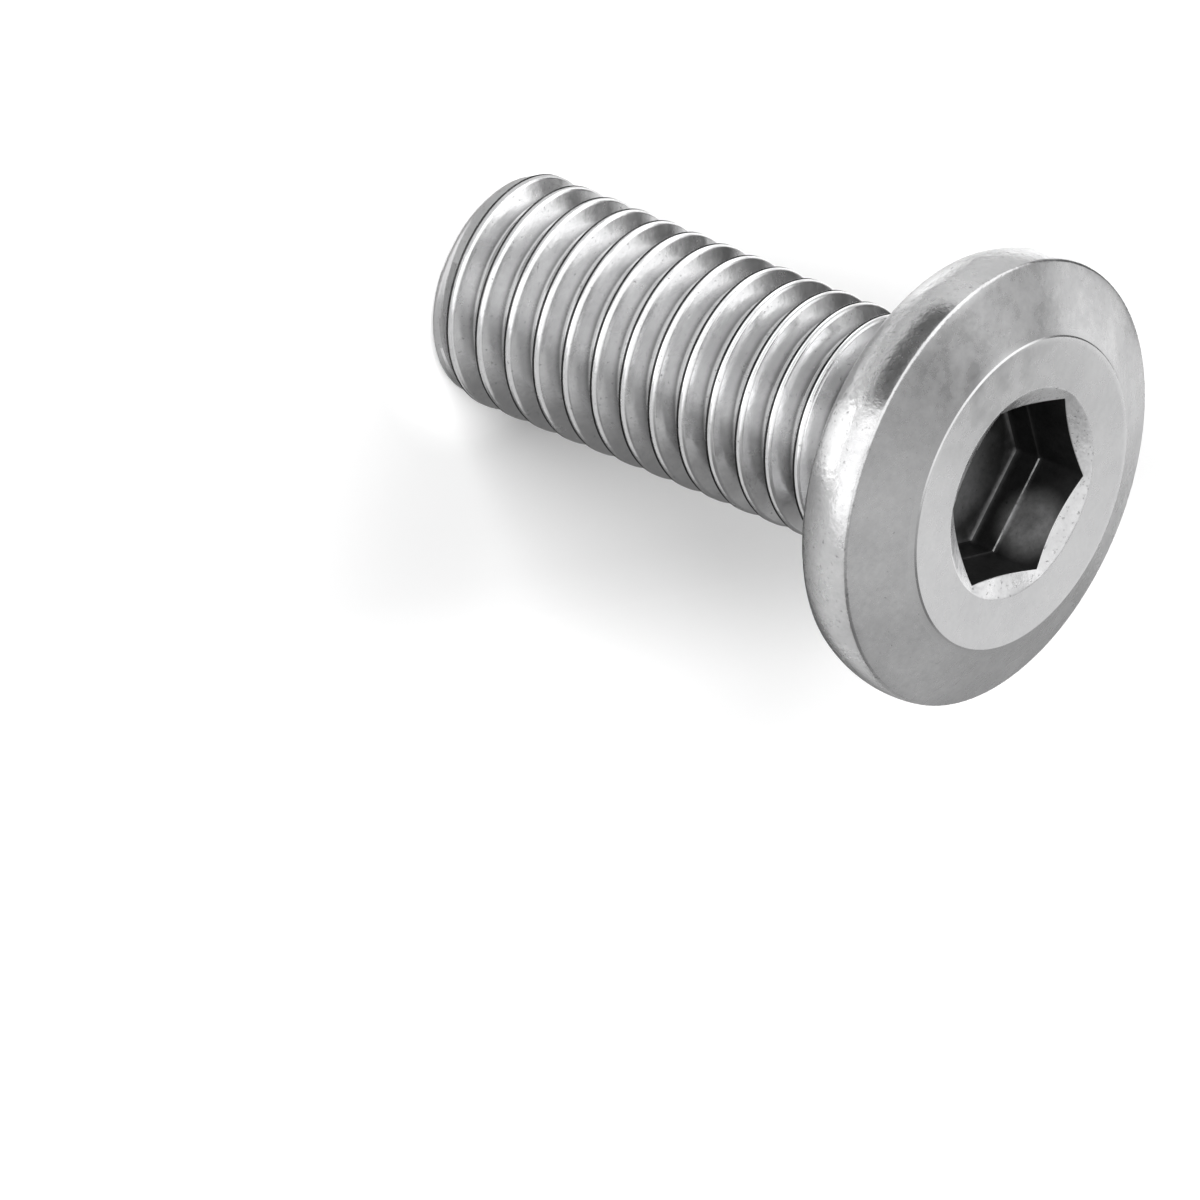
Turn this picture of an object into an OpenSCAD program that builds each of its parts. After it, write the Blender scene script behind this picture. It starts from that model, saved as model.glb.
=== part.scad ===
// Furniture connector bolt: bevelled flat head with a hexagon socket and a metric threaded shank.
// Millimetres, +Z up. The bolt stands on the flat end of its shank, with the head on top.

/* [Thread] */
// Major diameter of the thread
thread_d = 8; // [6:0.5:9]
// Distance between neighbouring thread crests
thread_pitch = 1.25; // [1:0.05:1.5]
// Length from the underside of the head to the end of the shank
shank_len = 19; // [14:1:25]
// Width of the flat on the thread crest, as a share of the pitch
crest_share = 0.16; // [0.1:0.01:0.2]
// Width of the rounded thread root, as a share of the pitch
root_share = 0.2; // [0.15:0.01:0.3]
// Length over which the thread groove runs out at both ends
runout_len = 0.9; // [0.5:0.1:1.5]

/* [Shank end] */
// Diameter of the flat end face, as a share of the thread diameter
end_share = 0.84; // [0.7:0.01:0.9]
// Angle of the end chamfer from the shank axis, in degrees
end_angle = 45; // [35:1:55]

/* [Head] */
// Diameter of the head
head_d = 15.6; // [15:0.1:20]
// Height of the head
head_h = 3.6; // [3.4:0.1:5]
// Diameter of the flat top face
flat_d = 10.8; // [10:0.1:12.4]
// Height of the conical bevel between the flat face and the rim
bevel_h = 1.1; // [0.6:0.05:1.4]
// Height of the fine lip by which the flat face stands above the bevel
lip_h = 0.08; // [0.02:0.01:0.15]
// Rounding of the rim towards the underside
rim_r = 1.3; // [0.6:0.1:1.6]
// Radius of the slight crown across the rim
rim_crown_r = 3.2; // [2.6:0.1:6]

/* [Neck] */
// Radius by which the plain neck under the head stands proud of the thread
neck_step = 0.05; // [0.02:0.01:0.2]
// Radius of the fillet between the neck and the underside
neck_fillet_r = 0.9; // [0.4:0.1:1.2]
// Length of the plain neck below the fillet
neck_len = 0.3; // [0.1:0.1:1]

/* [Socket] */
// Distance across the flats of the hexagon socket
socket_af = 6; // [4:0.5:6.5]
// Depth of the hexagon below the flat face
socket_depth = 3; // [2:0.1:3.2]
// Diameter of the conical lead-in at the mouth of the socket
lead_in_d = 7.4; // [7:0.1:8]
// Angle of the lead-in from the socket axis, in degrees
lead_in_angle = 63; // [45:1:70]
// Depth of the conical dimple in the socket floor
dimple_h = 0.35; // [0.1:0.05:0.4]

/* [Hidden] */

steel_colour = [0.76, 0.77, 0.78];
round_sides = 96;
hex_sides = 6;
clear = 1;

// Narrow end of the lead-in cone and rim of the dimple, as shares of the distance to a socket wall.
lead_in_share = 0.9;
dimple_share = 0.97;

crest_r = thread_d / 2;
end_r = end_share * crest_r;
neck_r = crest_r + neck_step;
head_r = head_d / 2;
flat_r = flat_d / 2;
bolt_len = shank_len + head_h;

// Metric 60 degree profile: flanks stand 30 degrees off the plane across the axis.
flank_angle = 30;
crest_w = crest_share * thread_pitch;
root_w = root_share * thread_pitch;
flank_w = (thread_pitch - crest_w - root_w) / 2;
flank_depth = flank_w / tan(flank_angle);
root_sag = root_w / 6;

// One pitch of the profile as [rise along the axis, depth below the crest].
groove = [
    [0, 0],
    [crest_w, 0],
    [crest_w + flank_w, flank_depth],
    [crest_w + flank_w + root_w / 2, flank_depth + root_sag],
    [crest_w + flank_w + root_w, flank_depth]
];
groove_points = len(groove);
turn_steps = 40;
thread_start = -2 * thread_pitch;
thread_top = shank_len + thread_pitch / 2;
thread_steps = ceil((thread_top - thread_start) / thread_pitch * turn_steps);

neck_z = shank_len - neck_fillet_r - neck_len;
end_chamfer_h = (crest_r - end_r) / tan(end_angle);

// Share of the full groove depth at height z: nothing at both ends, all of it between them.
function groove_share(z) =
    max(0, min(1, (z - end_chamfer_h / 2) / runout_len, (neck_z - z) / runout_len));

function thread_height(step, point) =
    thread_start + thread_pitch * step / turn_steps + groove[point][0];

function thread_vertex(step, point) =
    let(angle = 360 * step / turn_steps)
    let(z = thread_height(step, point))
    let(r = crest_r - groove[point][1] * groove_share(z))
    [r * cos(angle), r * sin(angle), z];

// The last point of a profile joins the first point one turn further up.
function vertex_index(step, point) =
    point < groove_points ? step * groove_points + point : (step + turn_steps) * groove_points;

function fan(centre, loop) = [
    for (i = [0:len(loop) - 1]) [centre, loop[i], loop[(i + 1) % len(loop)]]
];

// Rod bounded by the helical thread surface, closed by a fan of triangles at each end.
module threaded_rod() {
    last = thread_steps;
    last_point = groove_points - 1;
    low_centre = (last + 1) * groove_points;
    high_centre = low_centre + 1;
    vertices = [
        for (step = [0:last], point = [0:last_point]) thread_vertex(step, point),
        [0, 0, thread_start + thread_pitch / 2],
        [0, 0, thread_height(last, 0) - thread_pitch / 2]
    ];
    cells = [
        for (step = [0:last - 1], point = [0:last_point])
            if (point < last_point || step < last - turn_steps) [step, point]
    ];
    surface_lower = [
        for (cell = cells)
            [
                vertex_index(cell[0], cell[1]),
                vertex_index(cell[0], cell[1] + 1),
                vertex_index(cell[0] + 1, cell[1] + 1)
            ]
    ];
    surface_upper = [
        for (cell = cells)
            [
                vertex_index(cell[0], cell[1]),
                vertex_index(cell[0] + 1, cell[1] + 1),
                vertex_index(cell[0] + 1, cell[1])
            ]
    ];
    low_loop = [
        for (step = [0:turn_steps]) vertex_index(step, 0),
        for (point = [last_point:-1:1]) vertex_index(0, point)
    ];
    high_loop = [
        for (step = [last:-1:last - turn_steps]) vertex_index(step, last_point),
        for (point = [0:last_point - 1]) vertex_index(last, point)
    ];
    caps = concat(fan(low_centre, low_loop), fan(high_centre, high_loop));
    polyhedron(vertices, concat(surface_lower, surface_upper, caps), convexity = 6);
}

// Envelope of the shank: flat end, chamfer, and free room around the thread.
module shank_envelope() {
    wide_r = crest_r + clear;
    rotate_extrude($fn = round_sides)
        polygon([
            [0, 0],
            [end_r, 0],
            [wide_r, (wide_r - end_r) / tan(end_angle)],
            [wide_r, bolt_len],
            [0, bolt_len]
        ]);
}

module shank() {
    intersection() {
        threaded_rod();
        shank_envelope();
    }
}

// Half section of the head: bevel and lip cut from a block whose rim is crowned and rounded underneath.
module head_section() {
    rim_mid = shank_len + (head_h - bevel_h + rim_r) / 2;
    intersection() {
        polygon([
            [0, shank_len],
            [head_r, shank_len],
            [head_r, bolt_len - bevel_h],
            [flat_r + lip_h, bolt_len - lip_h],
            [flat_r, bolt_len],
            [0, bolt_len]
        ]);
        union() {
            translate([0, shank_len])
                square([head_r - rim_r, head_h]);
            translate([0, shank_len + rim_r])
                square([head_r, head_h - rim_r]);
            translate([head_r - rim_r, shank_len + rim_r])
                circle(rim_r, $fn = round_sides);
        }
        union() {
            translate([0, shank_len])
                square([head_r - rim_crown_r / 2, head_h]);
            translate([head_r - rim_crown_r, rim_mid])
                circle(rim_crown_r, $fn = round_sides);
        }
    }
}

// Half section of the neck with the concave fillet that runs into the underside.
module neck_section() {
    translate([0, neck_z])
        square([neck_r, shank_len - neck_z + clear]);
    translate([neck_r, shank_len - neck_fillet_r])
        difference() {
            square(neck_fillet_r);
            translate([neck_fillet_r, 0])
                circle(neck_fillet_r, $fn = round_sides);
        }
}

// Hexagon recess with a conical lead-in at the mouth and a shallow dimple in the floor.
module socket() {
    flat_dist = socket_af / 2;
    corner_r = flat_dist / cos(180 / hex_sides);
    inner_r = lead_in_share * flat_dist;
    outer_r = lead_in_d / 2;
    lead_in_h = (outer_r - inner_r) / tan(lead_in_angle);
    dimple_r = dimple_share * flat_dist;
    floor_z = bolt_len - socket_depth;
    translate([0, 0, floor_z])
        cylinder(r = corner_r, h = socket_depth + clear, $fn = hex_sides);
    translate([0, 0, floor_z - dimple_h])
        cylinder(r1 = 0, r2 = dimple_r, h = dimple_h, $fn = round_sides);
    translate([0, 0, bolt_len - lead_in_h])
        cylinder(r1 = inner_r, r2 = outer_r, h = lead_in_h, $fn = round_sides);
}

module connector_bolt() {
    color(steel_colour)
        difference() {
            union() {
                shank();
                rotate_extrude($fn = round_sides)
                    head_section();
                rotate_extrude($fn = round_sides)
                    neck_section();
            }
            socket();
        }
}

connector_bolt();
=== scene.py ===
"""Studio picture of a plated furniture connector bolt standing on its shank end, in metres."""

import math

import bpy
from mathutils import Matrix, Vector


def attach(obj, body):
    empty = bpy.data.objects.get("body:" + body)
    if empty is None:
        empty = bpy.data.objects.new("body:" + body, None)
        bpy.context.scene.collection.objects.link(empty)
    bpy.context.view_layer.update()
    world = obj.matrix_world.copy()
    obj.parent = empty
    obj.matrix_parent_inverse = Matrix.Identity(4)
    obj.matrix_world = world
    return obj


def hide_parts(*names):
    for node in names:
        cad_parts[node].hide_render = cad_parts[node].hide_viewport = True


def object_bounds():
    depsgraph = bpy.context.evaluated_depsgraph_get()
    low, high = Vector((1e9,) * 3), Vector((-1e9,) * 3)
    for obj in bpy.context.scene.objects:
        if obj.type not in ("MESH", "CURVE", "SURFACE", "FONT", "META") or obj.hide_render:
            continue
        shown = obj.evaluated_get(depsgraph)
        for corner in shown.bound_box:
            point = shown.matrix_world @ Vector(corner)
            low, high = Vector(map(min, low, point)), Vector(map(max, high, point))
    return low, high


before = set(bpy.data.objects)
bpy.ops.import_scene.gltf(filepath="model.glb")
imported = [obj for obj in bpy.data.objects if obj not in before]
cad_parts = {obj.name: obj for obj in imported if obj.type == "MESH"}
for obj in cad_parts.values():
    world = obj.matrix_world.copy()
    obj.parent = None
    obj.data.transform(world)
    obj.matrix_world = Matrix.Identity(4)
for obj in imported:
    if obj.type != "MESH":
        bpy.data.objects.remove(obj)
cad_low, cad_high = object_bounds()

MM = 0.001
WHITE = (1, 1, 1, 1)

# Sizes of the bolt in millimetres, worked out from the bounds of model.glb where these hold them.
BOLT_LEN = cad_high.z / MM
HEAD_R = (cad_high.x - cad_low.x) / 2 / MM
HEAD_H = 3.6
SHANK_LEN = BOLT_LEN - HEAD_H
THREAD_R = 4.0
PITCH = 1.25
END_R = 0.84 * THREAD_R
END_CHAMFER_H = THREAD_R - END_R
END_CHAMFER_BULGE = 1.5
END_ROUND = 0.04
END_INNER_R = END_R - 0.3
# Height up to which the shank gets the end's finish: duller, as a sheared end, and darker, as painted shade
# near the floor.
END_FINISH_H = 0.6
NECK_R = THREAD_R + 0.05
NECK_FILLET_R = 0.9
NECK_Z = SHANK_LEN - NECK_FILLET_R - 0.3
NECK_TOP = SHANK_LEN - NECK_FILLET_R - 0.05
NECK_BLEND = 0.2
LOW_RUNOUT = 1.1
HIGH_RUNOUT = 0.9
RUNOUT_PAST_NECK = 0.15
RIM_R = 1.3
RIM_CROWN_R = 3.2
RIM_EDGE_ROUND = 0.16
BEVEL_H = 1.1
FLAT_R = 5.4
LIP_H = 0.06
LIP_FOOT_R = FLAT_R + 0.07
LIP_TOP_R = FLAT_R + 0.02
LIP_ROUND = 0.02
SOCKET_AF = 6.0
SOCKET_CORNER_R = SOCKET_AF / 2 / math.cos(math.pi / 6)
SOCKET_DEPTH = 3.0
SOCKET_FLOOR_Z = BOLT_LEN - SOCKET_DEPTH
MOUTH_R = 3.7
LEAD_IN_H = 0.34
LEAD_IN_CORNER = 0.45
LEAD_IN_ROUND = 0.04
LEDGE_DEPTH = 2.0
LEDGE_W = 0.04
SOCKET_FILLET = 0.16
DIMPLE_H = 0.35
DIMPLE_R = 0.9 * SOCKET_AF / 2
# Spot on a socket wall around which its painted shade lets up into a lighter patch.
LIGHTER_PATCH_SPOT = (0.4, SOCKET_AF / 2, BOLT_LEN - 1.2)

# Thread profile: crest with a fine rolling seam, 60 degree flanks and rounded root.
CREST_W = 0.26
ROOT_W = 0.2
FLANK_ANGLE = math.radians(30)
FLANK_W = (PITCH - CREST_W - ROOT_W) / 2
FLANK_DEPTH = FLANK_W / math.tan(FLANK_ANGLE)
CREST_ROUND = 0.18
ROOT_ROUND = 0.12
SEAM_START = 0.015
SEAM_W = 0.08

# Mesh: columns around the axis, those where the socket's ledge carries a painted highlight, and rings as
# shares of a stretch.
COLUMNS = 144
LEDGE_HIGHLIGHT_COLUMNS = [*range(24, 29), *range(36, 48)]
HEAD_UNDER_RINGS = (0.2, 0.5, 0.8)
BEVEL_RINGS = (0.1, 0.35, 0.65, 0.9)
FLAT_RINGS = (0.9, 0.5, 0.1, 0.005, 0)
LEAD_IN_RINGS = (0.015, 0.06, 0.13, 0.25, 0.6, 0.95, 1)
WALL_RINGS = (0.015, 0.05, 0.4, 0.9, 1.0)
DIMPLE_RINGS = (1, 0.6, 0.2)

# Steps of the mesh along the roundings of the head.
FILLET_STEPS = 8
RIM_FOOT_STEPS = 12
CROWN_STEPS = 5
RIM_EDGE_STEPS = 5
LIP_FOOT_STEPS = 3
LIP_TOP_STEPS = 4

# Distance in mm to a level ring below which a row of the thread runs into it.
NEAR_RING = 0.01

# Numbers of the finishes, in the order of the table FINISHES.
THREAD, UNDERSIDE_PAINTED_SHADE, SEAM, END, RIM, BEVEL, FLAT, LEAD_IN, LEDGE, SOCKET, BOTTOM = range(11)


def smoothstep(x):
    x = min(1.0, max(0.0, x))
    return x * x * (3 - 2 * x)


def arc(centre, radius, start, end, steps):
    """Points of an arc, with its angles in degrees, both ends included."""
    points = []
    for i in range(steps + 1):
        a = math.radians(start + (end - start) * i / steps)
        points.append((centre[0] + radius * math.cos(a), centre[1] + radius * math.sin(a)))
    return points


def rounded(before, corner, after, radius, steps):
    """Points of the arc that rounds the corner of a bent line."""
    here = Vector(corner)
    to_before = (Vector(before) - here).normalized()
    to_after = (Vector(after) - here).normalized()
    half = to_before.angle(to_after) / 2
    reach = radius / math.tan(half)
    centre = here + (to_before + to_after).normalized() * (radius / math.sin(half))
    first = here + to_before * reach - centre
    last = here + to_after * reach - centre
    turn = first.angle(last)
    points = []
    for i in range(steps + 1):
        t = i / steps
        mixed = (first * math.sin((1 - t) * turn) + last * math.sin(t * turn)) / math.sin(turn)
        points.append(tuple(centre + mixed))
    return points


def thread_profile():
    """One pitch of the thread, from the tip side of a crest: rise, depth below the crest, finish above it."""
    # Corners of the profile: rise, depth, rounding, steps of the rounding, finish of the stretch above.
    corners = [
        (0, 0, 0.02, 2, THREAD),
        (SEAM_START, 0, 0.006, 1, SEAM),
        (SEAM_START + SEAM_W / 2, SEAM_W, 0.006, 1, SEAM),
        (SEAM_START + SEAM_W, 0, 0.01, 1, THREAD),
        (CREST_W, 0, CREST_ROUND, 6, THREAD),
        (CREST_W + FLANK_W, FLANK_DEPTH, ROOT_ROUND, 3, THREAD),
        (CREST_W + FLANK_W + ROOT_W, FLANK_DEPTH, ROOT_ROUND, 3, UNDERSIDE_PAINTED_SHADE),
    ]
    points = []
    for i, (rise, depth, radius, steps, finish) in enumerate(corners):
        before = corners[i - 1]
        after = corners[(i + 1) % len(corners)]
        low = (before[0] - (PITCH if i == 0 else 0), before[1])
        high = (after[0] + (PITCH if i == len(corners) - 1 else 0), after[1])
        points += [(z, d, finish) for z, d in rounded(low, (rise, depth), high, radius, steps)]
    return points


def shank_radius(z, depth):
    """Radius of the shank at height z for a groove of that full depth."""
    share = smoothstep((z - END_CHAMFER_H / 3) / LOW_RUNOUT)
    share *= smoothstep((NECK_Z + RUNOUT_PAST_NECK - z) / HIGH_RUNOUT)
    plain = THREAD_R + (NECK_R - THREAD_R) * smoothstep((z - NECK_Z + NECK_BLEND / 2) / NECK_BLEND)
    if z < END_CHAMFER_H:
        below = 1 - z / END_CHAMFER_H
        plain = END_R + (THREAD_R - END_R) * (1 - below ** END_CHAMFER_BULGE)
    return min(plain, THREAD_R - depth * share) if z < NECK_Z else plain


class Skin:
    """Vertices, faces and finishes of the bolt's surface, gathered ring by ring in millimetres."""

    def __init__(self):
        self.vertices = []
        self.faces = []
        self.finishes = []

    def vertex(self, x, y, z):
        self.vertices.append((x * MM, y * MM, z * MM))
        return len(self.vertices) - 1

    def ring(self, radius, height):
        """A ring of vertices; radius and height are numbers or functions of the angle."""
        made = []
        for i in range(COLUMNS):
            angle = 2 * math.pi * i / COLUMNS
            r = radius(angle) if callable(radius) else radius
            z = height(angle) if callable(height) else height
            made.append(self.vertex(r * math.cos(angle), r * math.sin(angle), z))
        return made

    def face(self, corners, finish):
        """A face without repeated corners, where at least three are left."""
        kept = list(dict.fromkeys(corners))
        if len(kept) > 2:
            self.faces.append(kept)
            self.finishes.append(finish)

    def join(self, lower, upper, finish):
        """Faces between two rings; the finish is a number or a function of the column."""
        for i in range(COLUMNS):
            n = (i + 1) % COLUMNS
            chosen = finish(i) if callable(finish) else finish
            self.face([lower[i], lower[n], upper[n], upper[i]], chosen)

    def grow(self, last, radius, height, finish):
        """A new ring that is joined to the last one."""
        made = self.ring(radius, height)
        self.join(last, made, finish)
        return made

    def cap(self, ring, height, finish, upwards):
        """A fan of faces from a ring to the axis."""
        centre = self.vertex(0, 0, height)
        for i in range(COLUMNS):
            n = (i + 1) % COLUMNS
            self.face([ring[i], ring[n], centre] if upwards else [ring[n], ring[i], centre], finish)


def add_shank(skin, low_ring, low_z, high_ring, high_z):
    """Thread surface whose rows follow the helix, between two level rings."""
    profile = thread_profile()
    rows = []
    first_turn = -1
    last_turn = math.ceil(high_z / PITCH)
    for turn in range(first_turn, last_turn + 1):
        rows += [(turn * PITCH + rise, depth, finish) for rise, depth, finish in profile]
    grid = []
    for i in range(COLUMNS):
        angle = 2 * math.pi * i / COLUMNS
        column = []
        for rise, depth, _ in rows:
            z = rise + PITCH * i / COLUMNS
            if z < low_z + NEAR_RING:
                column.append(low_ring[i])
            elif z > high_z - NEAR_RING:
                column.append(high_ring[i])
            else:
                r = shank_radius(z, depth)
                column.append(skin.vertex(r * math.cos(angle), r * math.sin(angle), z))
        grid.append(column)
    for i in range(COLUMNS):
        wraps = i == COLUMNS - 1
        here = grid[i]
        beside = grid[0][len(profile):] + [high_ring[0]] * len(profile) if wraps else grid[i + 1]
        for j in range(len(rows) - 1):
            middle = rows[j][0] + PITCH * i / COLUMNS
            finish = END if middle < END_FINISH_H else rows[j][2]
            skin.face([here[j], beside[j], beside[j + 1], here[j + 1]], finish)


def rim_outline():
    """Rim from the underside up to its sharp upper edge: a rounded foot under a slight crown."""
    crown_z = SHANK_LEN + (HEAD_H - BEVEL_H + RIM_R) / 2

    def crown(z):
        return HEAD_R - RIM_CROWN_R + math.sqrt(RIM_CROWN_R ** 2 - (z - crown_z) ** 2)

    foot = arc((HEAD_R - RIM_R, SHANK_LEN + RIM_R), RIM_R, -90, 0, RIM_FOOT_STEPS)
    points = [(min(r, crown(z)), z) for r, z in foot]
    edge_z = BOLT_LEN - BEVEL_H
    start_z = points[-1][1]
    for i in range(1, CROWN_STEPS + 1):
        z = start_z + (edge_z - start_z) * i / CROWN_STEPS
        points.append((crown(z), z))
    return points


def head_outline():
    """Outline of the head from the neck to the mouth of the socket, with a finish for each stretch."""
    fillet_centre = (NECK_R + NECK_FILLET_R, SHANK_LEN - NECK_FILLET_R)
    under = arc(fillet_centre, NECK_FILLET_R, 180, 90, FILLET_STEPS)
    under += [(under[-1][0] + (HEAD_R - RIM_R - under[-1][0]) * t, SHANK_LEN) for t in HEAD_UNDER_RINGS]
    rim = rim_outline()
    edge = rim.pop()
    bevel_end = (LIP_FOOT_R, BOLT_LEN - LIP_H)
    rim_edge = rounded(rim[-1], edge, bevel_end, RIM_EDGE_ROUND, RIM_EDGE_STEPS)
    bevel = [tuple(Vector(rim_edge[-1]).lerp(Vector(bevel_end), t)) for t in BEVEL_RINGS]
    lip_top = (LIP_TOP_R, BOLT_LEN)
    flat = rounded(bevel[-1], bevel_end, lip_top, LIP_ROUND, LIP_FOOT_STEPS)
    flat += rounded(bevel_end, lip_top, (MOUTH_R, BOLT_LEN), LIP_ROUND, LIP_TOP_STEPS)
    flat += [(MOUTH_R + (FLAT_R - MOUTH_R) * t, BOLT_LEN) for t in FLAT_RINGS]
    return [(THREAD, under), (RIM, rim + rim_edge), (BEVEL, bevel), (FLAT, flat)]


def add_head(skin, neck_ring):
    """Head surface from the neck ring to the mouth of the socket; gives back the last ring."""
    last = neck_ring
    for finish, points in head_outline():
        for r, z in points:
            last = skin.grow(last, r, z, finish)
    return last


def hexagon(angle, inset=0.0):
    """Distance from the axis to the socket wall; the corners lie at multiples of 60 degrees."""
    sixth = math.pi / 3
    across = angle % sixth - sixth / 2
    return (SOCKET_AF / 2 - inset) / math.cos(across)


def lead_in_edge(angle):
    """Height of the edge between the lead-in and a socket wall, lowest in the middle of the wall."""
    across = (SOCKET_CORNER_R - hexagon(angle)) / (SOCKET_CORNER_R - SOCKET_AF / 2)
    return BOLT_LEN - LEAD_IN_H * (LEAD_IN_CORNER + (1 - LEAD_IN_CORNER) * across)


def ledge_highlight_finish(column):
    """Finish of the ledge on the socket walls, with a painted highlight along some columns."""
    return LEDGE if column in LEDGE_HIGHLIGHT_COLUMNS else SOCKET


def add_lead_in(skin, last):
    """Rounded lead-in from the round mouth to the hexagon; gives back the last ring."""
    for t in LEAD_IN_RINGS:
        down = t * t / (t + LEAD_IN_ROUND) * (1 + LEAD_IN_ROUND)
        last = skin.grow(
            last,
            lambda angle: MOUTH_R + (hexagon(angle) - MOUTH_R) * t,
            lambda angle: BOLT_LEN * (1 - down) + lead_in_edge(angle) * down,
            LEAD_IN,
        )
    return last


def add_walls(skin, last):
    """Socket walls with a fine ledge and a rounded edge to the floor; gives back the last ring."""
    ledge_z = BOLT_LEN - LEDGE_DEPTH
    for t in WALL_RINGS:
        last = skin.grow(last, hexagon, lambda angle: lead_in_edge(angle) * (1 - t) + ledge_z * t, SOCKET)
    # Way down from the ledge: inset from the upper wall, height, finish of the stretch before.
    points = [
        (0.4 * LEDGE_W, ledge_z - 0.3 * LEDGE_W, ledge_highlight_finish),
        (LEDGE_W, ledge_z - LEDGE_W, ledge_highlight_finish),
        (LEDGE_W, ledge_z - 2 * LEDGE_W, SOCKET),
        (LEDGE_W, SOCKET_FLOOR_Z + 2 * SOCKET_FILLET, SOCKET),
        (LEDGE_W, SOCKET_FLOOR_Z + SOCKET_FILLET, SOCKET),
        (LEDGE_W + 0.4 * SOCKET_FILLET, SOCKET_FLOOR_Z + 0.5 * SOCKET_FILLET, SOCKET),
        (LEDGE_W + 0.55 * SOCKET_FILLET, SOCKET_FLOOR_Z + 0.35 * SOCKET_FILLET, BOTTOM),
        (LEDGE_W + SOCKET_FILLET, SOCKET_FLOOR_Z, BOTTOM),
    ]
    for inset, z, finish in points:
        last = skin.grow(last, lambda angle: hexagon(angle, inset), z, finish)
    return last


def add_socket(skin, mouth_ring):
    """Socket below the mouth: lead-in, six walls, and a floor with a shallow dimple."""
    last = add_walls(skin, add_lead_in(skin, mouth_ring))
    for share in DIMPLE_RINGS:
        last = skin.grow(last, DIMPLE_R * share, SOCKET_FLOOR_Z - DIMPLE_H * (1 - share), BOTTOM)
    skin.cap(last, SOCKET_FLOOR_Z - DIMPLE_H, BOTTOM, True)


def build_bolt():
    """The bolt as one closed piece, from the end of the shank to the floor of the socket."""
    skin = Skin()
    end_ring = skin.ring(END_R, END_ROUND)
    face_ring = skin.ring(END_R - END_ROUND, 0)
    skin.join(face_ring, end_ring, END)
    inner_ring = skin.ring(END_INNER_R, 0)
    skin.join(inner_ring, face_ring, END)
    skin.cap(inner_ring, 0, END, False)
    neck_ring = skin.ring(NECK_R, NECK_TOP)
    add_shank(skin, end_ring, END_ROUND, neck_ring, NECK_TOP)
    add_socket(skin, add_head(skin, neck_ring))
    mesh = bpy.data.meshes.new("connector_bolt_skin")
    mesh.from_pydata(skin.vertices, [], skin.faces)
    for finish in FINISHES:
        mesh.materials.append(metal(*finish))
    mesh.polygons.foreach_set("material_index", skin.finishes)
    mesh.polygons.foreach_set("use_smooth", [True] * len(skin.faces))
    mesh.update()
    bolt = bpy.data.objects.new("bolt_skin", mesh)
    bpy.context.scene.collection.objects.link(bolt)
    return bolt


class Nodes:
    """Shorthand for building a node tree."""

    def __init__(self, tree):
        self.tree = tree
        tree.nodes.clear()

    def add(self, kind, inputs=None, **settings):
        """A node with its settings; an input is linked to a socket or set to a value."""
        made = self.tree.nodes.new(kind)
        for name, value in settings.items():
            setattr(made, name, value)
        for name, value in (inputs or {}).items():
            if isinstance(value, bpy.types.NodeSocket):
                self.tree.links.new(value, made.inputs[name])
            else:
                made.inputs[name].default_value = value
        return made

    def math(self, operation, first, second=0.0):
        return self.add("ShaderNodeMath", {0: first, 1: second}, operation=operation).outputs[0]

    def vector(self, operation, first, second):
        return self.add("ShaderNodeVectorMath", {0: first, 1: second}, operation=operation)

    def noise(self, place, scale_mm, detail, rough=0.5):
        """Noise whose features are about scale_mm across."""
        sockets = {"Vector": place, "Scale": 1 / (scale_mm * MM), "Detail": detail, "Roughness": rough}
        return self.add("ShaderNodeTexNoise", sockets).outputs["Fac"]

    def remap(self, value, low, high, to_low, to_high):
        sockets = {"Value": value, "From Min": low, "From Max": high, "To Min": to_low, "To Max": to_high}
        return self.add("ShaderNodeMapRange", sockets, interpolation_type="SMOOTHSTEP").outputs[0]


# Shares of the tone: painted shade in the thread's root and on the rim's foot, a lighter patch on a socket
# wall; their reach in mm.
ROOT_PAINTED_SHADE = 0.5
ROOT_SHADE_REACH = 0.35 * FLANK_DEPTH
RIM_FOOT_PAINTED_SHADE = 0.45
RIM_FOOT_EDGE = (0.4, 1.9)
LIGHTER_PATCH_TONE = 10.0
LIGHTER_PATCH_EDGE = (0.5, 1.5)

# Plating: sizes in mm of its clouds, grain and uneven gloss, share of the clouds, faint blue in its greys.
CLOUD_MM = 2.4
GRAIN_MM = 0.22
GLOSS_MM = 0.9
CLOUD_SHARE = 0.6
DARK_BLUE = 1.01
LIGHT_BLUE = 1.005

# Ranges of the noise over which a blotch, a pit and the gloss change, and how much a pit darkens.
BLOTCH_EDGE = (0.35, 0.65)
PIT_EDGE = (0.5, 0.72)
GLOSS_EDGE = (0.3, 0.7)
PIT_SHADE = 0.5


def painted_root_shade(nodes, place):
    """Share of the tone that is left by depth in the thread groove: painted shade, dark in the root."""
    across = nodes.vector("MULTIPLY", place, (1, 1, 0)).outputs[0]
    radius = nodes.add("ShaderNodeVectorMath", {0: across}, operation="LENGTH").outputs["Value"]
    root_r = THREAD_R - FLANK_DEPTH
    return nodes.remap(radius, root_r * MM, (root_r + ROOT_SHADE_REACH) * MM, ROOT_PAINTED_SHADE, 1.0)


def painted_rim_shade(nodes, place):
    """Share of the tone on the rim: painted shade, darker on the rounding towards the underside."""
    height = nodes.add("ShaderNodeSeparateXYZ", {0: place}).outputs["Z"]
    low, high = [(SHANK_LEN + edge) * MM for edge in RIM_FOOT_EDGE]
    return nodes.remap(height, low, high, RIM_FOOT_PAINTED_SHADE, 1.0)


def lighter_wall_patch(nodes, place):
    """Share of the tone on a socket wall: lighter around one spot, where the wall's painted shade lets up."""
    spot = Vector(LIGHTER_PATCH_SPOT) * MM
    away = nodes.vector("DISTANCE", place, spot).outputs["Value"]
    near, far = LIGHTER_PATCH_EDGE
    return nodes.remap(away, near * MM, far * MM, LIGHTER_PATCH_TONE, 1.0)


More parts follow.
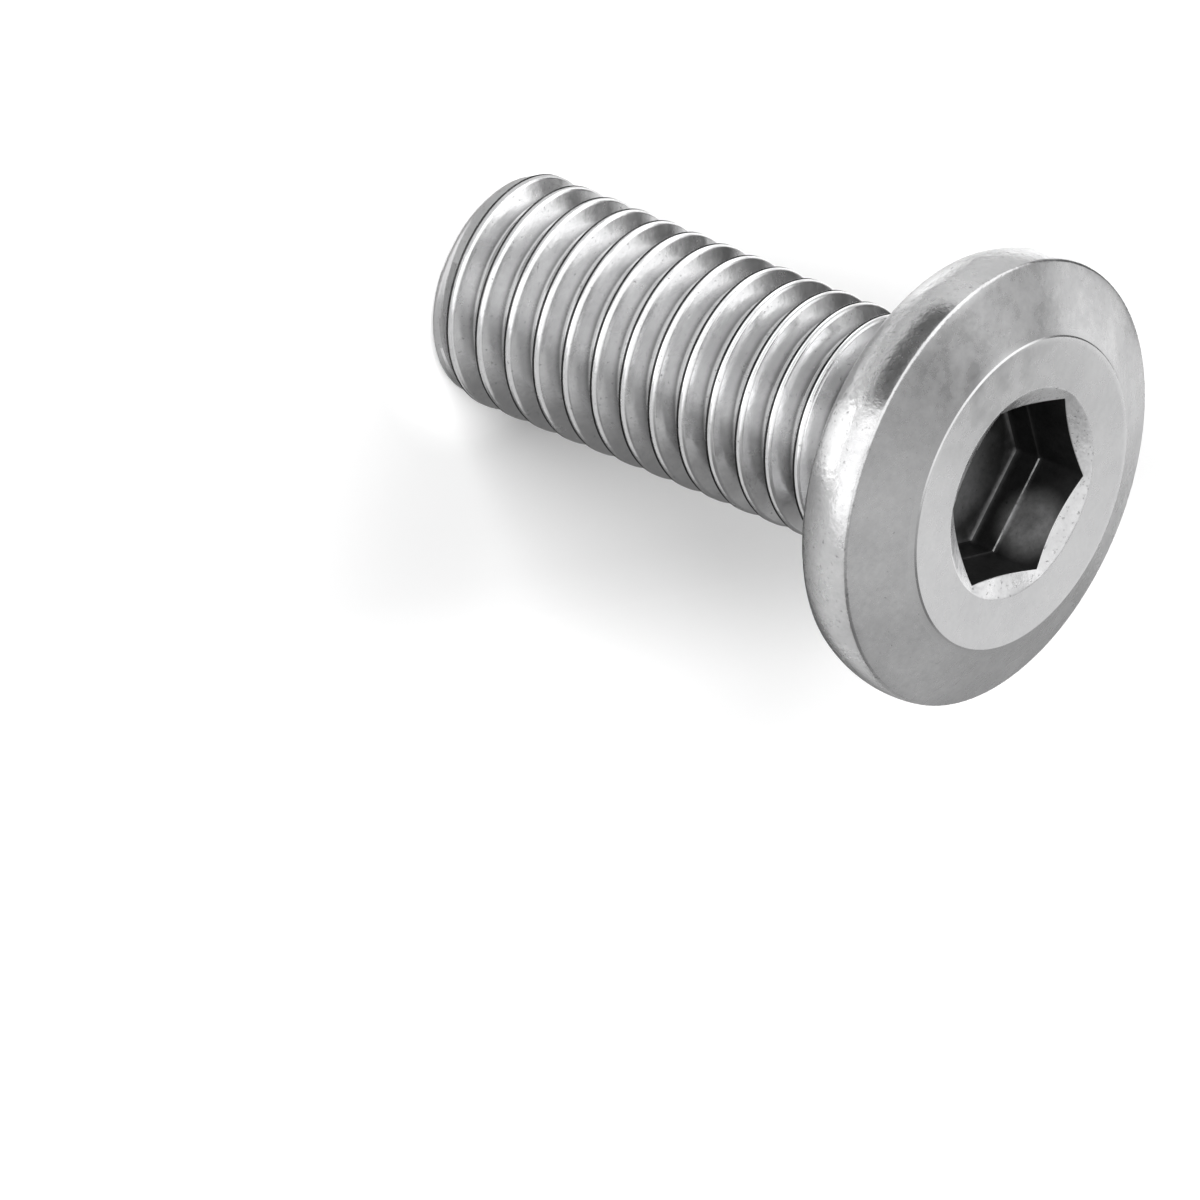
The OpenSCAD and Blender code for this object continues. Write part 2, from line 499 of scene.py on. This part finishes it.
def cloudy_grey(nodes, place, dark, light):
    """Grey that wanders between two shades, in clouds with a fine grain."""
    cloud = nodes.math("MULTIPLY", nodes.noise(place, CLOUD_MM, detail=4.0, rough=0.6), CLOUD_SHARE)
    grain = nodes.math("MULTIPLY", nodes.noise(place, GRAIN_MM, detail=4.0, rough=0.65), 1 - CLOUD_SHARE)
    tint = nodes.add("ShaderNodeValToRGB", {"Fac": nodes.math("ADD", cloud, grain)})
    first, last = tint.color_ramp.elements
    first.position, last.position = BLOTCH_EDGE
    first.color = (dark, dark, dark * DARK_BLUE, 1)
    last.color = (light, light, light * LIGHT_BLUE, 1)
    return tint.outputs["Color"]


def metal(name, shades, gloss, peel, pits, shade=None):
    """Plated steel: shades are the darkest and lightest grey, gloss the range of roughness.

    peel is the size and height of the soft waviness, pits the size, rareness and depth of the fine pits.
    shade is a function that gives the share of the tone by place, for painted shade or a lighter patch. Sizes
    are in mm.
    """
    pit_size, pit_rareness, pit_depth = pits
    peel_size, peel_height = peel
    material = bpy.data.materials.new(name)
    material.use_nodes = True
    nodes = Nodes(material.node_tree)
    place = nodes.add("ShaderNodeTexCoord").outputs["Object"]
    speckle = nodes.noise(place, pit_size, detail=2.0)
    speck = nodes.remap(speckle, PIT_EDGE[0] + pit_rareness, PIT_EDGE[1] + pit_rareness, 0, 1)
    share = nodes.math("SUBTRACT", 1.0, nodes.math("MULTIPLY", speck, PIT_SHADE))
    if shade:
        share = nodes.math("MULTIPLY", share, shade(nodes, place))
    scaled = {0: cloudy_grey(nodes, place, *shades), "Scale": share}
    colour = nodes.add("ShaderNodeVectorMath", scaled, operation="SCALE")
    uneven = nodes.noise(place, GLOSS_MM, detail=5.0, rough=0.6)
    roughness = nodes.remap(uneven, *GLOSS_EDGE, *gloss)
    wave = nodes.math("MULTIPLY", nodes.noise(place, peel_size, detail=2.0), peel_height * MM)
    height = nodes.math("SUBTRACT", wave, nodes.math("MULTIPLY", speck, pit_depth * MM))
    bump = nodes.add("ShaderNodeBump", {"Height": height, "Strength": 1.0, "Distance": 1.0})
    shader = nodes.add("ShaderNodeBsdfPrincipled", {
        "Base Color": colour.outputs[0],
        "Metallic": 1.0,
        "Roughness": roughness,
        "Normal": bump.outputs["Normal"],
    })
    nodes.add("ShaderNodeOutputMaterial", {"Surface": shader.outputs[0]})
    return material


# Finishes of the bolt: name, shades, gloss, peel, pits and, where it is uneven, the painted shade by place.
FINISHES = [
    ("rolled_thread", (0.76, 0.88), (0.16, 0.28), (0.4, 0.008), (0.12, 0.12, 0.003), painted_root_shade),
    # The flanks that face the end of the shank get a darker copy of the thread's finish: painted shade.
    ("thread_underside", (0.38, 0.47), (0.25, 0.35), (0.4, 0.008), (0.12, 0.12, 0.003), painted_root_shade),
    # The fine seam on the crest is coloured almost black: painted shade in the fold.
    ("thread_seam", (0.03, 0.08), (0.2, 0.3), (0.4, 0.008), (0.12, 0.12, 0.003)),
    # The shank's end is duller, as a sheared end, and darker as painted shade near the floor.
    ("sheared_end", (0.5, 0.62), (0.3, 0.4), (0.3, 0.008), (0.1, 0.12, 0.003)),
    ("bright_rim", (0.68, 0.86), (0.18, 0.3), (0.26, 0.016), (0.2, 0.11, 0.005), painted_rim_shade),
    ("satin_bevel", (0.66, 0.82), (0.22, 0.34), (0.7, 0.01), (0.14, 0.17, 0.006)),
    ("satin_flat", (0.72, 0.8), (0.22, 0.3), (0.8, 0.004), (0.1, 0.2, 0.003)),
    ("lead_in", (0.74, 0.92), (0.24, 0.36), (0.25, 0.014), (0.14, 0.09, 0.009)),
    # The ledge is lighter along some columns as a painted highlight; elsewhere it keeps the walls' painted
    # shade.
    ("socket_ledge", (0.03, 0.6), (0.2, 0.36), (0.2, 0.02), (0.12, 0.12, 0.004)),
    # The socket's walls and floor are coloured dark as painted shade in the hollow; on one wall it lets up
    # into a lighter patch.
    ("socket_wall", (0.05, 0.09), (0.5, 0.65), (0.4, 0.008), (0.12, 0.12, 0.004), lighter_wall_patch),
    ("socket_floor", (0.14, 0.26), (0.3, 0.45), (0.4, 0.008), (0.12, 0.12, 0.004)),
]

# View of the photograph: the bolt's axis runs down to the right in the picture, seen from the head side.
VIEW_ELEVATION = math.radians(34.4)
VIEW_TURN = math.radians(7.4)
AXIS_SLOPE = math.radians(22.4)
FLAT_CENTRE_PX = (1022.0, 493.6)
PX_PER_MM = 30.4
PICTURE_PX = 1200
LENS_MM = 900.0
SENSOR_MM = 36.0
CLIP_M = (0.01, 20)

FRONT = Vector((math.sin(VIEW_TURN), -math.cos(VIEW_TURN), 0))
RIGHT = Vector((math.cos(VIEW_TURN), math.sin(VIEW_TURN), 0))
UP = Vector((0, 0, 1))
MIDDLE = (cad_low + cad_high) / 2


def toward(azimuth, elevation):
    """Direction from the bolt: azimuth 0 is away from the camera and grows to its right, in degrees."""
    a = math.radians(azimuth)
    e = math.radians(elevation)
    level = RIGHT * math.sin(a) - FRONT * math.cos(a)
    return level * math.cos(e) + UP * math.sin(e)


def add_camera():
    """Camera with a long lens that sees the bolt's flat face at its place in the photograph."""
    back = FRONT * math.cos(VIEW_ELEVATION) + UP * math.sin(VIEW_ELEVATION)
    above = UP * math.cos(VIEW_ELEVATION) - FRONT * math.sin(VIEW_ELEVATION)
    across = above * math.cos(AXIS_SLOPE) - RIGHT * math.sin(AXIS_SLOPE)
    upward = -above * math.sin(AXIS_SLOPE) - RIGHT * math.cos(AXIS_SLOPE)
    px = MM / PX_PER_MM
    centre = PICTURE_PX / 2
    flat_centre = Vector((0, 0, cad_high.z))
    aim = flat_centre + across * (centre - FLAT_CENTRE_PX[0]) * px
    aim -= upward * (centre - FLAT_CENTRE_PX[1]) * px
    distance = PICTURE_PX * px * LENS_MM / SENSOR_MM
    data = bpy.data.cameras.new("camera")
    data.lens = LENS_MM
    data.sensor_width = SENSOR_MM
    data.clip_start, data.clip_end = CLIP_M
    camera = bpy.data.objects.new("camera", data)
    turn = Matrix((across, upward, back)).transposed()
    camera.matrix_world = Matrix.Translation(aim + back * distance) @ turn.to_4x4()
    bpy.context.scene.collection.objects.link(camera)
    bpy.context.scene.camera = camera


def glow(name, strength, soft):
    """Glow that fades out towards the edges of a panel, over soft as shares of its width and height."""
    material = bpy.data.materials.new(name)
    material.use_nodes = True
    nodes = Nodes(material.node_tree)
    spot = nodes.add("ShaderNodeSeparateXYZ", {0: nodes.add("ShaderNodeTexCoord").outputs["UV"]})
    share = 1.0
    for side, fade in zip(("X", "Y"), soft):
        off_centre = nodes.math("ABSOLUTE", nodes.math("SUBTRACT", spot.outputs[side], 0.5))
        share = nodes.math("MULTIPLY", share, nodes.remap(off_centre, 0.5 - fade, 0.5, 1, 0))
    clear = nodes.add("ShaderNodeBsdfTransparent", {"Color": WHITE})
    light = nodes.add("ShaderNodeEmission", {"Color": WHITE, "Strength": strength})
    mixed = nodes.add("ShaderNodeMixShader", {0: share, 1: clear.outputs[0], 2: light.outputs[0]})
    nodes.add("ShaderNodeOutputMaterial", {"Surface": mixed.outputs[0]})
    return material


def add_panel(name, near_edge, far_edge, strength, soft):
    """Glowing panel between two edges of as many points; only the metal shows it, as a reflection."""
    steps = len(near_edge) - 1
    faces = []
    corners = []
    for i in range(steps):
        faces.append((i, i + 1, steps + 2 + i, steps + 1 + i))
        corners += [(i / steps, 0), ((i + 1) / steps, 0), ((i + 1) / steps, 1), (i / steps, 1)]
    mesh = bpy.data.meshes.new(name)
    mesh.from_pydata(near_edge + far_edge, [], faces)
    layer = mesh.uv_layers.new(name="spread")
    for loop, corner in enumerate(corners):
        layer.data[loop].uv = corner
    mesh.materials.append(glow(name, strength, soft))
    panel = bpy.data.objects.new(name, mesh)
    bpy.context.scene.collection.objects.link(panel)
    panel.visible_camera = False
    panel.visible_diffuse = False
    panel.visible_shadow = False


# Flat faces that a curved card is made of.
CARD_STEPS = 12


def sweep(start, end, distance, height):
    """Points around the bolt from one azimuth to another, for a distance and a height in mm."""
    turns = [start + (end - start) * i / CARD_STEPS for i in range(CARD_STEPS + 1)]
    return [(toward(turn, 0) * distance + UP * height) * MM for turn in turns]


def add_card(name, start, end, distance, low, high, strength, soft):
    """Upright curved card around the bolt; azimuths in degrees, sizes in mm."""
    add_panel(name, sweep(start, end, distance, low), sweep(start, end, distance, high), strength, soft)


def add_level_card(name, start, end, near, far, height, strength, soft):
    """Level card around the bolt's axis, between two azimuths in degrees and two distances in mm."""
    add_panel(name, sweep(start, end, near, height), sweep(start, end, far, height), strength, soft)


def add_softbox(name, azimuth, elevation, distance, side, radiance):
    """Square soft light that faces the bolt and lights the floor; the metal mirrors the cards instead."""
    data = bpy.data.lights.new(name, "AREA")
    data.shape = "RECTANGLE"
    data.size = side
    data.size_y = side
    data.energy = radiance * math.pi * side * side
    light = bpy.data.objects.new(name, data)
    way = toward(azimuth, elevation)
    light.location = MIDDLE + way * distance
    light.rotation_euler = way.to_track_quat("Z", "Y").to_euler()
    light.visible_camera = False
    light.visible_glossy = False
    bpy.context.scene.collection.objects.link(light)


# Floor: its tones to light and to the metal, and the lift that only the camera sees, by place in mm.
FLOOR_HALF_M = 3.0
FLOOR_TONE = 0.8
MIRRORED_FLOOR_TONE = 0.54
CONTACT_LIFT = 0.35
CONTACT_EDGE = (END_R, 1.6 * THREAD_R)
NEAR_LIFT = 0.12
FAR_LIFT = 0.8
FAR_EDGE = (12.0, 150.0)
SHADOW_SIDE_LIFT = 0.26
SHADOW_SIDE = RIGHT - 0.35 * FRONT
SHADOW_SIDE_EDGE = (11.0, 17.5)
LEFT_LIFT = 0.12
LEFT_EDGE = (3.0, 7.0)


def floor_lift(nodes):
    """Strength of the floor's own light by place: more at the bolt's foot, far away and beside the shadow."""
    place = nodes.add("ShaderNodeTexCoord").outputs["Object"]
    distance = nodes.add("ShaderNodeVectorMath", {0: place}, operation="LENGTH").outputs["Value"]

    def lift(reach, edge, start, end):
        low, high = edge
        return nodes.remap(reach, low * MM, high * MM, start, end)

    def along(way):
        return nodes.vector("DOT_PRODUCT", place, way).outputs["Value"]

    contact = lift(distance, CONTACT_EDGE, CONTACT_LIFT, 0)
    around = nodes.math("ADD", contact, lift(distance, FAR_EDGE, NEAR_LIFT, FAR_LIFT))
    past_shadow = lift(along(SHADOW_SIDE), SHADOW_SIDE_EDGE, 0, SHADOW_SIDE_LIFT)
    past_shank = lift(along(-RIGHT), LEFT_EDGE, 0, LEFT_LIFT)
    return nodes.math("ADD", around, nodes.math("ADD", past_shadow, past_shank))


def floor_material():
    """Pale floor that keeps the shadow, darker to the metal and lifted to the camera."""
    material = bpy.data.materials.new("white_floor")
    material.use_nodes = True
    nodes = Nodes(material.node_tree)
    path = nodes.add("ShaderNodeLightPath").outputs
    tones = {"Factor": path["Is Glossy Ray"], "A": FLOOR_TONE, "B": MIRRORED_FLOOR_TONE}
    tone = nodes.add("ShaderNodeMix", tones).outputs["Result"]
    cover = nodes.add("ShaderNodeBsdfDiffuse", {"Color": tone})
    strength = nodes.math("MULTIPLY", path["Is Camera Ray"], floor_lift(nodes))
    lift = nodes.add("ShaderNodeEmission", {"Color": WHITE, "Strength": strength})
    both = nodes.add("ShaderNodeAddShader", {0: cover.outputs[0], 1: lift.outputs[0]})
    nodes.add("ShaderNodeOutputMaterial", {"Surface": both.outputs[0]})
    return material


def add_floor():
    """Level floor under the bolt."""
    half = FLOOR_HALF_M
    corners = [(-half, -half, 0), (half, -half, 0), (half, half, 0), (-half, half, 0)]
    mesh = bpy.data.meshes.new("floor")
    mesh.from_pydata(corners, [], [(0, 1, 2, 3)])
    mesh.materials.append(floor_material())
    floor = bpy.data.objects.new("floor", mesh)
    bpy.context.scene.collection.objects.link(floor)


# Studio walls: their plain level, the level that lights the floor and the one that the camera sees, then soft
# fields as azimuth, elevation, radius to the outer and to the inner edge in degrees, and level.
WALL_LEVEL = 0.4
WORLD_ON_FLOOR = 0.16
BACKDROP_LEVEL = 1.0
FIELDS = [
    (0, 35, 30, 12, 0.76),
    (60, 58, 35, 15, 0.54),
    (-18, 12, 26, 13, 1.0),
    (-44, 46, 18, 8, 0.3),
    (-70, 51, 17, 6, 1.1),
    (-50, 67, 12, 4, 0.22),
    (-46, 5, 20, 11, 0.12),
    (-30, 27, 9, 4, 0.85),
    (-105, 25, 45, 28, 1.35),
    (-170, 12, 60, 35, 1.15),
    (75, 20, 40, 20, 0.2),
]


def add_world():
    """Grey studio walls with soft lighter and darker fields, white where the camera sees past the floor."""
    world = bpy.data.worlds.new("studio")
    bpy.context.scene.world = world
    world.use_nodes = True
    nodes = Nodes(world.node_tree)
    way = nodes.add("ShaderNodeTexCoord").outputs["Generated"]
    level = WALL_LEVEL
    for azimuth, elevation, outer, inner, value in FIELDS:
        facing = nodes.vector("DOT_PRODUCT", way, toward(azimuth, elevation)).outputs["Value"]
        share = nodes.remap(facing, math.cos(math.radians(outer)), math.cos(math.radians(inner)), 0, 1)
        level = nodes.add("ShaderNodeMix", {"Factor": share, "A": level, "B": value}).outputs["Result"]
    path = nodes.add("ShaderNodeLightPath").outputs
    for ray, value in (("Is Diffuse Ray", WORLD_ON_FLOOR), ("Is Camera Ray", BACKDROP_LEVEL)):
        level = nodes.add("ShaderNodeMix", {"Factor": path[ray], "A": level, "B": value}).outputs["Result"]
    sky = nodes.add("ShaderNodeBackground", {"Color": WHITE, "Strength": level})
    nodes.add("ShaderNodeOutputWorld", {"Surface": sky.outputs[0]})


# Soft lights on the floor: name, azimuth, elevation, distance and side in m, radiance.
LIGHTS = [
    ("key_light", -167, 37, 0.4, 0.2, 16.5),
    ("side_light", -105, 72, 0.4, 0.2, 3.5),
    ("fill_light", 180, 33, 0.5, 0.15, 5.0),
]

# Upright cards: name, first and last azimuth, distance, lower and upper edge in mm, strength, soft edges.
CARDS = [
    ("front_card", 130, 192, 30, 0, 20, 1.4, (0.25, 0.25)),
    ("front_left_card", -178, -122, 12, 0.2, 11, 1.5, (0.15, 0.2)),
    ("dark_card", -175, -129, 11, 16.5, 22.5, 0.12, (0.12, 0.35)),
    ("left_card", -130, -64, 12, 0.2, 11.5, 2.2, (0.45, 0.25)),
    ("right_flag", 4, 66, 45, 0, 39, 0.36, (0.12, 0.12)),
    ("right_near_flag", 24, 86, 12, -8, 20, 0.18, (0.3, 0.22)),
    ("right_front_flag", 72, 156, 14, 0.2, 14, 0.66, (0.25, 0.25)),
    ("back_flag", -68, -24, 29, 12, 30, 0.1, (0.5, 0.15)),
    ("back_low_flag", -52, -20, 29, 12, 24, 0.08, (0.2, 0.15)),
    ("far_card", -30, -3, 80, 0.1, 27, 0.66, (0.15, 0.1)),
    ("far_flag", 0, 18, 60, 0, 20, 0.3, (0.25, 0.25)),
    ("mouth_low_card", -25, -13, 29, 26, 37, 1.3, (0.15, 0.15)),
    ("mouth_card", -43, -23, 29, 34, 51, 1.3, (0.15, 0.15)),
    ("flat_shade", -14, -1, 28, 41, 57, 0.15, (0.15, 0.15)),
]

# Level cards: name, first and last azimuth, near and far edge, height in mm, strength, soft edges.
LEVEL_CARDS = [
    ("front_floor_card", -212, -168, 5, 30, 0.1, 1.95, (0.15, 0.25)),
    ("right_floor_flag", 20, 100, 4.5, 14, 0.1, 0.18, (0.2, 0.15)),
    ("left_floor_card", -98, -46, 6, 24, 0.1, 1.5, (0.25, 0.25)),
    ("back_floor_card", -66, 4, 8, 62, 0.1, 1.3, (0.25, 0.1)),
    ("roof_card", -50, 40, 1, 7, BOLT_LEN + 10, 0.95, (0.1, 0.1)),
]


def main():
    add_camera()
    bolt = build_bolt()
    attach(bolt, "root")
    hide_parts("connector_bolt")
    add_floor()
    add_world()
    for light in LIGHTS:
        add_softbox(*light)
    for card in CARDS:
        add_card(*card)
    for card in LEVEL_CARDS:
        add_level_card(*card)
    bpy.context.scene.view_settings.view_transform = "Standard"


main()
